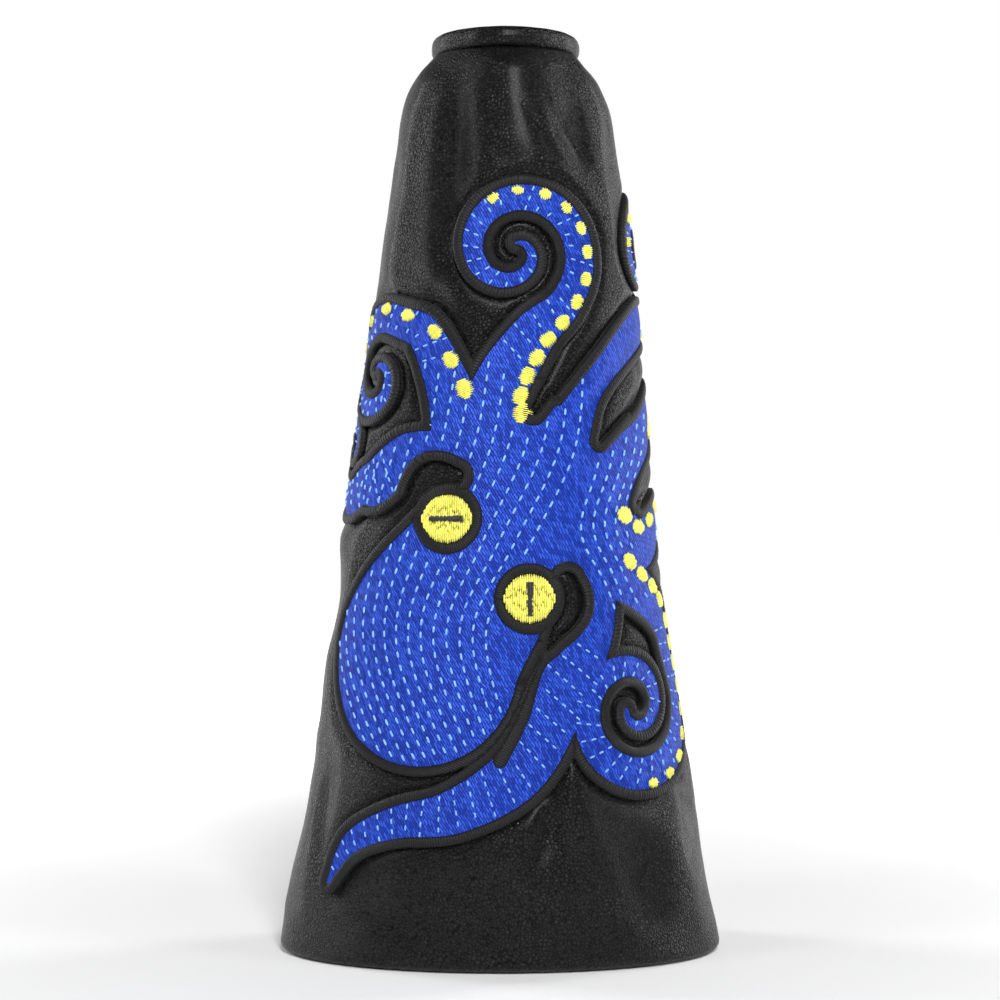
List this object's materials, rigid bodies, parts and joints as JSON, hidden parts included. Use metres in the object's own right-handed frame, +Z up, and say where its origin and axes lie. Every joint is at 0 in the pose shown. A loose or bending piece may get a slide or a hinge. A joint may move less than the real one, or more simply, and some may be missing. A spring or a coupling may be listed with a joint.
{
  "type": "putter head cover",
  "caption": "Tapered sleeve cover for a blade putter head, closed at the toe, with an embroidered front, a shaft slit and a hook-and-loop flap at the back.",
  "frame": {"origin": "middle of the box round the whole cover, on the plane of the open hem that it stands on", "axes": "+Z up the sleeve to the closed toe end, -Y out of the embroidered front, +Y out of the flap, +X to the viewer's right of the front"},
  "size_m": [0.0828, 0.0526, 0.17],
  "materials": {
    "leather": "pebble-grained black synthetic leather with a satin sheen",
    "binding": "thin smooth black synthetic leather",
    "foam": "sheet foam, sealed inside the wall",
    "plush": "short black plush pile",
    "elastic": "woven black elastic, ribbed",
    "hook_and_loop": "black hook and loop tape",
    "thread_blue": "glossy royal-blue embroidery thread, filled in rows",
    "thread_black": "glossy black satin stitch",
    "thread_yellow": "glossy yellow embroidery thread",
    "thread_light_blue": "light-blue running stitch"
  },
  "bodies": {
    "sleeve": {"front_shell": "leather", "back_left_shell": "leather", "back_right_shell": "leather", "front_foam": "foam", "back_foam": "foam", "front_lining": "plush", "back_lining": "plush", "toe_lining": "plush", "hem_facing": "binding", "toe_ring": "leather", "toe_cap": "leather", "slit_binding": "binding", "slit_gusset": "elastic", "loop_patch": "hook_and_loop", "flap_hinge_strip": "leather", "embroidery_fill": "thread_blue", "embroidery_outline": "thread_black", "eye_rings": "thread_black", "eyes": "thread_yellow", "pupils": "thread_black", "suckers": "thread_yellow", "running_stitches": "thread_light_blue", "slit_stitching": "thread_black"},
    "closure_flap": {"flap_shell": "leather", "flap_lining": "plush", "flap_binding": "binding", "hook_patch": "hook_and_loop", "flap_stitching": "thread_black"}
  },
  "joints": [
    {"name": "flap_hinge", "type": "hinge", "parent": "sleeve", "child": "closure_flap", "pos_m": [0.02042, 0.02026, 0.0485], "axis": [0.0871, 0.0284, -0.9958], "range_deg": [0, 150]}
  ]
}
